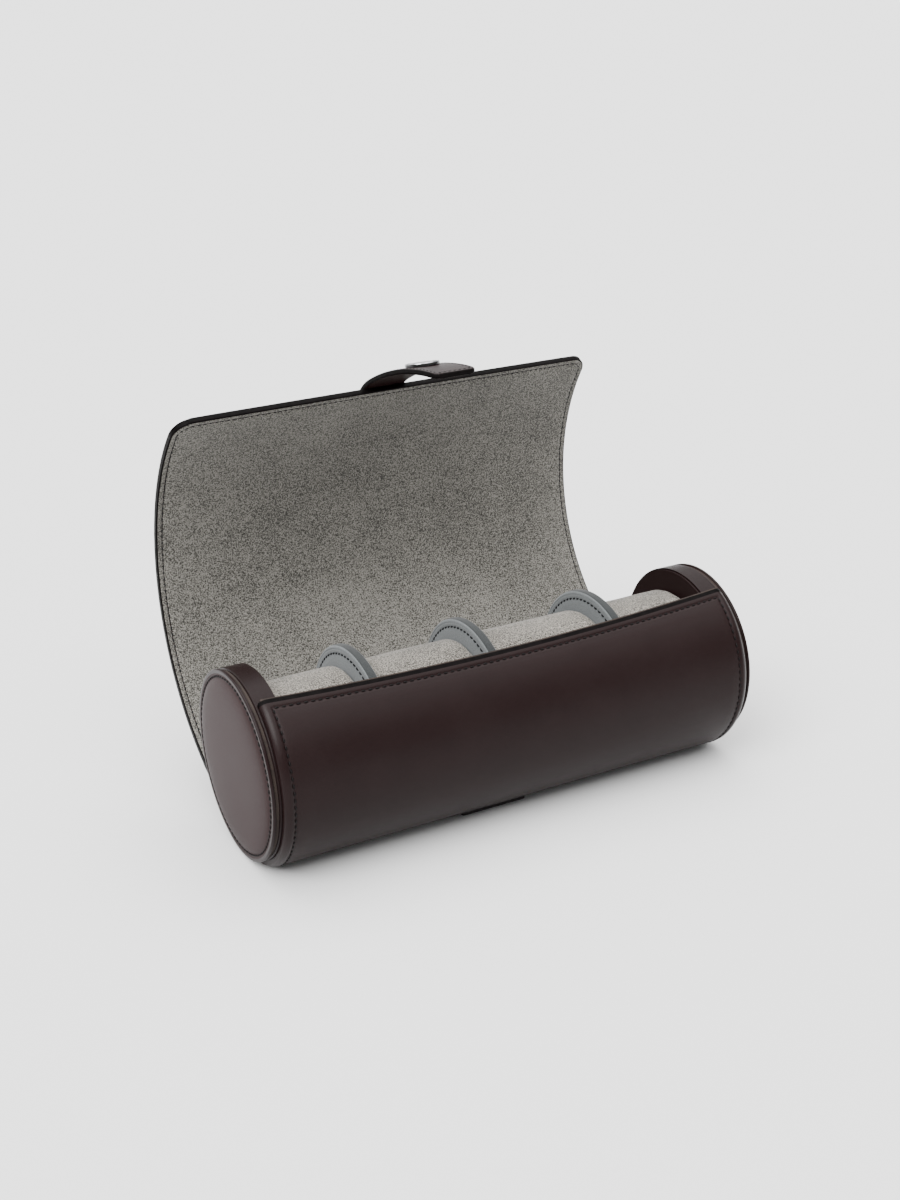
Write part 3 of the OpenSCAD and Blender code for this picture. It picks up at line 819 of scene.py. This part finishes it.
def make_flap():
    """outer leather and padded lining, cut into parts that each run over one crease"""
    fine = (0.3, 0.7, 1.2, 2, 2.8, 3.3, 3.8, 4.6, 6)
    across = rows(-FLAP_HALF, FLAP_HALF, 10, *(-FLAP_HALF + f for f in fine), *(FLAP_HALF - f for f in fine))
    along = rows(0, FLAP_L, 2.4, *(FLAP_L - f for f in fine))
    # outer leather, with its edge turned and painted
    leather = sheet("flap_skin", across, along, -0.55)
    for side in (-1, 1):
        trim_corner(leather, side * FLAP_HALF, FLAP_L, FLAP_CORNER, side)
    lining = copy_of(leather, "flap_bed")
    thicken(leather, FLAP_T - 0.55)

    def edge_of(x, s):
        """distance from the flap's outline, inside the corners too"""
        return corner_distance(FLAP_HALF - abs(x), FLAP_L - s, FLAP_CORNER)

    def leather_relief(x, s, up):
        edge = edge_of(x, s)
        turned = 0.5 * max(0, 1 - edge / 0.9) ** 2
        if up < -2:
            soft = 0.12 * noise.noise(Vector((x / 40, s / 40, 7)))
            dip = 0.3 * exp(-((edge - FLAP_SEAM) / 0.8) ** 2)
            return x, s, up + turned + dip + soft * min(1, edge / 10)
        return x, s, up - turned * 0.6 + 0.1
    move_points(leather, leather_relief)
    dress(leather, BROWN, EDGE, THREAD)
    second_material(leather, lambda c, n: edge_of(c.x, c.y) < 1.3)

    def border(inset_by, height):
        """the stitched line round the three free sides"""
        half, top, radius = FLAP_HALF - inset_by, FLAP_L - inset_by, FLAP_CORNER - inset_by
        turn = [pi / 2 * i / 8 for i in range(9)]
        line = [(-half, 1.5, height), (-half, top - radius, height)]
        line += [(-half + radius - radius * cos(a), top - radius + radius * sin(a), height) for a in turn[1:]]
        line += [(half - radius + radius * sin(a), top - radius + radius * cos(a), height) for a in turn]
        return line + [(half, 1.5, height)]
    pitch = 3.3
    outer_row = [(p, d, (0, 0, -1)) for p, d in along_line(border(FLAP_SEAM, -FLAP_T + 0.2), pitch)]
    inner_row = [(p, d, (0, 0, 1)) for p, d in along_line(border(FLAP_SEAM, -0.36), pitch)]

    # suede lining over a thin foam, sewn down along its border
    def lining_relief(x, s, up):
        edge, short = edge_of(x, s), 0.75
        x = max(-FLAP_HALF + short, min(FLAP_HALF - short, x))
        s = min(s, FLAP_L - short)
        end, free = FLAP_CORNER - (FLAP_HALF - abs(x)), FLAP_CORNER - (FLAP_L - s)
        if end > 0 and free > 0 and edge < short:
            back = 1 - (FLAP_CORNER - short) / hypot(end, free)
            x -= (1 if x > 0 else -1) * end * back
            s -= free * back
        if up > -1:
            height = -0.55 + 0.3 * min(1, edge / 1.4) - 0.28 * exp(-((edge - FLAP_SEAM) / 0.6) ** 2)
            height += 0.42 * (max(0, min(1, (edge - 3.6) / 7)) ** 0.6)
            height += 0.16 * noise.noise(Vector((x / 45, s / 45, 5))) * min(1, edge / 12)
            return x, s, height
        return x, s, up
    thicken(lining, 0.5)
    move_points(lining, lining_relief)
    dress(lining, FLAP_SUEDE, DARK_THREAD)
    layers = (
        (leather, outer_row, "flap_skin_%d", "flap_leather_%d", 2),
        (lining, inner_row, "flap_bed_%d", "flap_lining_%d", 1),
    )
    for whole, row, name, node, index in layers:
        for k in range(FLAP_PARTS):
            low, high = FLAP_CUTS[k], FLAP_CUTS[k + 1]
            part = copy_of(whole, name % (k + 1))
            cut_between(part, low if k else None, high if k < FLAP_PARTS - 1 else None)
            faces_outwards(part)
            sew(part, [place for place in row if low <= place[0].y < high], index, 0.95)
            move_points(part, on_flap)
            smooth(part, 50)
            hang_flap_part(part, k)
            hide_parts(node % max(1, k))
            "brown_leather" if index == 2 else "padded_taupe_suede"
            index == 1
        bpy.data.objects.remove(whole)


# ---------- the tab ----------
def make_tab():
    """the strap with painted edges and its stitches, cut where it is sewn down and where it bends"""
    fine = (0.25, 0.6, 1.0, 1.6, 2.2, 2.8, 3.6)
    across = rows(-TAB_HALF, TAB_HALF, 3, *(-TAB_HALF + f for f in fine), *(TAB_HALF - f for f in fine))
    along = rows(-TAB_SEWN, TAB_L, 1.6, *(TAB_L - f for f in fine), *(-TAB_SEWN + f for f in fine))
    strap = sheet("tab_strap", across, along, TAB_T)
    for side in (-1, 1):
        trim_corner(strap, side * TAB_HALF, TAB_L, TAB_CORNER, side)
    thicken(strap, TAB_T)
    seam = 2.2

    def edge_of(x, s):
        """distance from the tab's outline"""
        return corner_distance(TAB_HALF - abs(x), TAB_L - s, TAB_CORNER, s + TAB_SEWN)

    def relief(x, s, up):
        edge = edge_of(x, s)
        turned = 0.8 * max(0, 1 - edge / 1.1) ** 2
        if up > TAB_T / 2:
            return x, s, up - turned - 0.22 * exp(-((edge - seam) / 0.6) ** 2)
        return x, s, up + turned * 0.7
    move_points(strap, relief)
    dress(strap, TAB, EDGE, THREAD)
    second_material(strap, lambda c, n: edge_of(c.x, c.y) < 0.9 and 0.3 < c.z < TAB_T - 0.3)
    half, radius, low, top, up = TAB_HALF - seam, TAB_CORNER - seam, seam - TAB_SEWN, TAB_L - TAB_CORNER, TAB_T - 0.14
    turn = [pi / 8 * i for i in range(5)]
    line = [(-half, low, up), (-half, top, up)]
    line += [(-half + radius - radius * cos(a), top + radius * sin(a), up) for a in turn[1:]]
    line += [(half - radius + radius * sin(a), top + radius * cos(a), up) for a in turn]
    line += [(half, low, up)]
    cross = [(half, low, up), (-half, low, up)]
    top_row = [(p, d, (0, 0, 1)) for l in (line, cross) for p, d in along_line(l, 3.0)]
    parts = (
        ("tab_sewn", -TAB_SEWN, -6, "tab_sewn_end"), ("tab_fold", -6, 13.75, "tab_soft_middle"),
        ("tab_neck", 13.75, 30, "tab_soft_middle"), ("tab_tip", 30, TAB_L, "tab_stiff_end"),
    )
    for name, low, high, node in parts:
        part = copy_of(strap, name)
        cut_between(part, low if low > -TAB_SEWN else None, high if high < TAB_L else None)
        faces_outwards(part)
        sew(part, [place for place in top_row if low <= place[0].y < high], 2, 0.85)
        move_points(part, on_tab)
        smooth(part, 50)
        ends = [Vector(on_tab(0, s, TAB_T / 2)) * MM for s in ((low, high) if name == "tab_fold" else (20, 30))]
        if name == "tab_fold":
            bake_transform(part)
        elif name == "tab_neck":
            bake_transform(part)
        else:
            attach(part, "flap_panel_10" if name == "tab_sewn" else "tab_end")
        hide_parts(node)
    bpy.data.objects.remove(strap)


# ---------- the snap's cap ----------
# the groove, then the crown: (in from the last ring, up)
CAP_RINGS = ((0.5, 0.0), (0.35, -0.3), (0.5, 0.0), (0.35, 0.3), (0.5, 0.1), (1.2, 0.14), (1.6, 0.1), (1.6, 0.06))


def make_snap_cap():
    """a turned disc with a rolled rim, a fine groove and a low crown, on its rivet"""
    radius, high, place = 9, 1.7, 39.5
    top = TAB_T + LAY + high
    cap = begin("snap_disc", bpy.ops.mesh.primitive_cylinder_add, vertices=96, radius=radius * MM, depth=high * MM,
                location=(0, 0, (top - high / 2) * MM))
    on_rim = lambda p: p.z > top - 0.01 and hypot(p.x, p.y) > radius - 0.01
    pick(cap, "EDGE", lambda a, b: on_rim(a) and on_rim(b))
    round_edges(0.6, 5)
    done()
    pick(cap, "FACE", lambda c, n: n.z > 0.99 and hypot(c.x, c.y) < 1)
    for across, up in CAP_RINGS:
        inset(across, up)
    bpy.ops.mesh.poke()
    done()
    pick(cap, "FACE", lambda c, n: n.z < -0.99)
    inset(radius - 2)
    bpy.ops.mesh.extrude_region_move(TRANSFORM_OT_translate={"value": (0, 0, -(TAB_T + 0.2) * MM)})
    done()
    faces_outwards(cap)
    dress(cap, STEEL, STEEL_PAINTED_SHADE)
    in_groove = lambda c: radius - 1.6 < hypot(c.x, c.y) < radius - 1.05 and c.z > TAB_T
    # painted shade: the cap's groove, its sides below the rim and its underside get the dark steel copy
    second_material(cap, lambda c, n: c.z < top - 0.75 or in_groove(c))
    # stands square on the stiff end of the tab
    base = Vector(on_tab(0, place, 0))
    up = (Vector(on_tab(0, place, 1)) - base).normalized()
    along = (Vector(on_tab(0, place + 0.5, 0)) - Vector(on_tab(0, place - 0.5, 0))).normalized()
    side = along.cross(up)
    move_points(cap, lambda x, y, z: base + side * x + along * y + up * z)
    smooth(cap, 40)
    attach(cap, "tab_end")
    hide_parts("snap_cap")


# ---------- make the case ----------
make_wrap()
make_wrap_lining()
make_end_cover(-1, "left_cover_pad", "left_end_cover")
make_end_cover(1, "right_cover_pad", "right_end_cover")
for number, place in enumerate(DIVIDERS, 1):
    make_divider(number, place)
for number, (left, width) in enumerate(BAYS, 1):
    make_cushion(number, left, width)
make_flap()
make_tab()
make_snap_cap()
bpy.data.objects.remove(STITCH)

kept = (
    (DRUM, ("left_drum", "right_drum")),
    (BROWN, ("left_drum_facing", "right_drum_facing")),
    # the end backings and the wrap's board take the dark board, painted shade for the grooves where they show
    (BOARD_PAINTED_SHADE, ("left_end_backing", "right_end_backing", "wrap_board")),
    (DARK, ("snap_patch",)),
    (STEEL, ("snap_post", "snap_socket")),
)
for material, names in kept:
    for name in names:
        dress(nodes[name], material)
for number in range(1, 5):
    dress(nodes["cushion_foam_%d" % number], FOAM)


# ---------- floor, light and camera ----------
def make_studio():
    """a pale paper floor, a white sky and three soft lights"""
    floor = begin("studio_floor", bpy.ops.mesh.primitive_plane_add, size=60, location=(0, 20, 0))
    f = Finish("floor_paper", Specular_IOR_Level=0.0)
    mottle = f.noise(3, 2)
    f.paint(f.mix(mottle, (0.63, 0.63, 0.63), (0.635, 0.635, 0.635)), f.between(mottle, 0, 1, 0.9, 0.95))
    dress(floor, f.material)
    world = bpy.data.worlds.new("studio")
    bpy.context.scene.world = world
    world.use_nodes = True
    sky = world.node_tree.nodes["Background"]
    sky.inputs["Color"].default_value = (1, 1, 1, 1)
    sky.inputs["Strength"].default_value = 0.68
    lights = (
        ("key", (0.64, 0.28, -0.71), 4.8, 40),
        ("top", (0.0, 0.12, -1), 6.2, 90),
        ("back", (-0.05, -0.62, -0.78), 2.3, 80),
    )
    for name, way, strength, angle in lights:
        lamp = bpy.data.lights.new(name, "SUN")
        lamp.energy, lamp.angle = strength, radians(angle)
        holder = bpy.data.objects.new(name, lamp)
        bpy.context.scene.collection.objects.link(holder)
        holder.rotation_euler = Vector(way).to_track_quat("-Z", "Y").to_euler()


def make_camera():
    """a camera in front of the left end, looking down along the case"""
    lens = bpy.data.cameras.new("camera")
    camera = bpy.data.objects.new("camera", lens)
    bpy.context.scene.collection.objects.link(camera)
    lens.sensor_fit, lens.sensor_height, lens.sensor_width = "VERTICAL", 36, 36
    lens.lens = 49.204
    lens.clip_start, lens.clip_end = 0.01, 200
    ahead = Vector((0.4336, 0.8181, -0.378)).normalized()
    right = ahead.cross(Vector((0, 0, 1))).normalized()
    up = right.cross(ahead)
    roll = radians(-1.22)
    right, up = right * cos(roll) + up * sin(roll), up * cos(roll) - right * sin(roll)
    turn = Matrix((right, up, -ahead)).transposed().to_4x4()
    camera.matrix_world = Matrix.Translation((-0.3708, -0.6671, 0.4185)) @ turn
    bpy.context.scene.camera = camera


make_studio()
make_camera()
